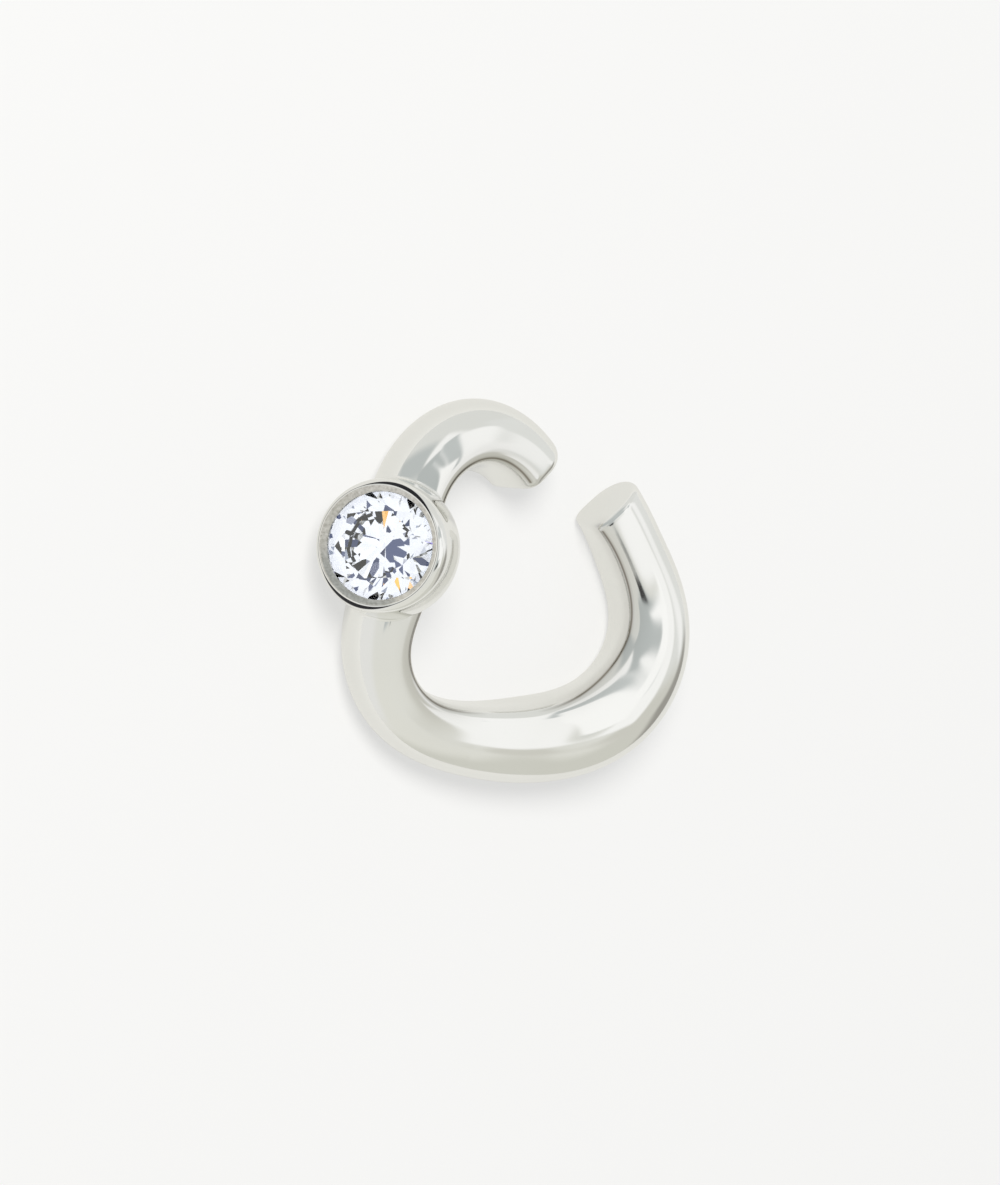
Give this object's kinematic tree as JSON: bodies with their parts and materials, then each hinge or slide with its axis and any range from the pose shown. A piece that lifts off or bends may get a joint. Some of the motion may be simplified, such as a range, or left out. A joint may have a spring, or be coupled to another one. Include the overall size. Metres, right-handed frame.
{
  "type": "ear cuff",
  "caption": "Open ear cuff of a thick polished silver-coloured band bent into a loop, with a round clear stone in a bezel cup on its side.",
  "frame": {"origin": "middle of the cuff's footprint, on the surface that it lies on", "axes": "+Z along the loop's axis, up from the surface, with the stone looking up and out to -X; +Y towards the loop's upper tip"},
  "size_m": [0.0156, 0.0142, 0.0049],
  "materials": {
    "silver": "mirror polished silver",
    "clear_stone": "faceted and polished"
  },
  "bodies": {
    "root": {"cuff_band": "silver", "stone": "clear_stone"}
  },
  "joints": []
}
